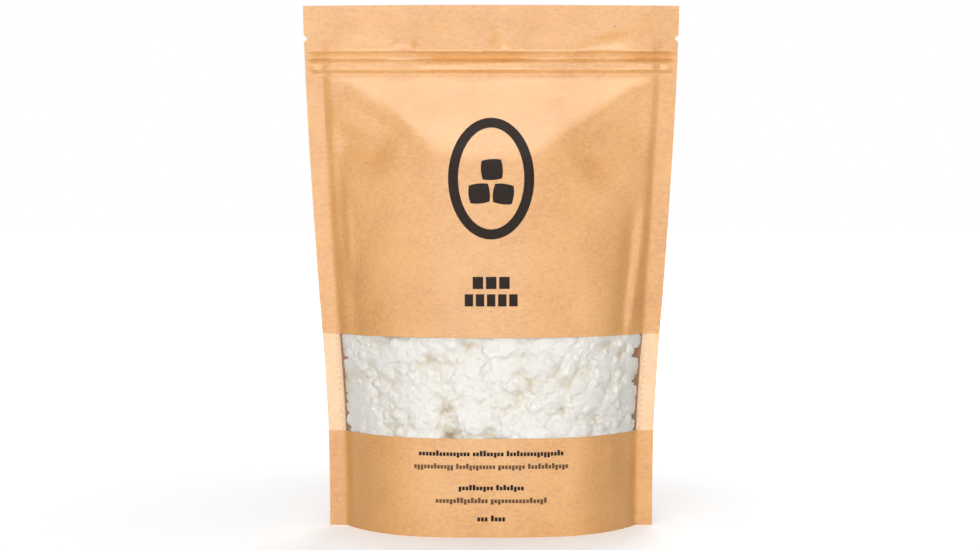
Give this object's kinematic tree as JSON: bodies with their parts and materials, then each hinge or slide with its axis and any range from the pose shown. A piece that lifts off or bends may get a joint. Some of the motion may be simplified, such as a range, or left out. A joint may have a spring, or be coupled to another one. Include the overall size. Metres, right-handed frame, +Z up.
{
  "type": "stand-up pouch of crushed chalk",
  "caption": "Kraft paper stand-up pouch with a clear front strip, press-to-close zip and tear-off header, filled with crushed white gymnastics chalk.",
  "frame": {"origin": "centre of the foot, on the table", "axes": "+X across the pouch, -Y out of its front, +Z up"},
  "size_m": [0.16, 0.0644, 0.222],
  "materials": {
    "kraft_paper": "matte",
    "clear_film": "clear, glossy",
    "welded_film": "clear, pressed",
    "zip_plastic": "translucent, satin",
    "chalk": "matte, powdery"
  },
  "bodies": {
    "pouch": {"front_paper_upper": "kraft_paper", "front_paper_lower": "kraft_paper", "front_film": "clear_film", "back_paper": "kraft_paper", "back_film": "clear_film", "gusset_paper": "kraft_paper", "gusset_film": "clear_film", "left_side_weld": "welded_film", "right_side_weld": "welded_film", "front_foot_weld": "welded_film", "back_foot_weld": "welded_film", "zip_crushed_end_left": "zip_plastic", "zip_crushed_end_right": "zip_plastic", "chalk_powder": "chalk", "chalk_lumps_large": "chalk", "chalk_lumps_medium": "chalk", "chalk_lumps_small": "chalk"},
    "front_lip": {"front_lip_paper": "kraft_paper", "front_lip_film": "clear_film", "zip_rib_tape": "zip_plastic"},
    "back_lip": {"back_lip_paper": "kraft_paper", "back_lip_film": "clear_film", "zip_channel_tape": "zip_plastic"},
    "tear_strip": {"header_front_paper": "kraft_paper", "header_back_paper": "kraft_paper", "header_front_film": "clear_film", "header_back_film": "clear_film", "header_top_weld": "welded_film"}
  },
  "joints": [
    {"name": "front_lip_open", "type": "hinge", "parent": "pouch", "child": "front_lip", "pos_m": [0, -0.0149, 0.165], "axis": [1, 0, 0], "range_deg": [0, 28]},
    {"name": "back_lip_open", "type": "hinge", "parent": "pouch", "child": "back_lip", "pos_m": [0, 0.0149, 0.165], "axis": [-1, 0, 0], "range_deg": [0, 28]},
    {"name": "tear_strip_off", "type": "slide", "parent": "pouch", "child": "tear_strip", "axis": [0, 0, 1], "range_m": [0, 0.03]}
  ]
}
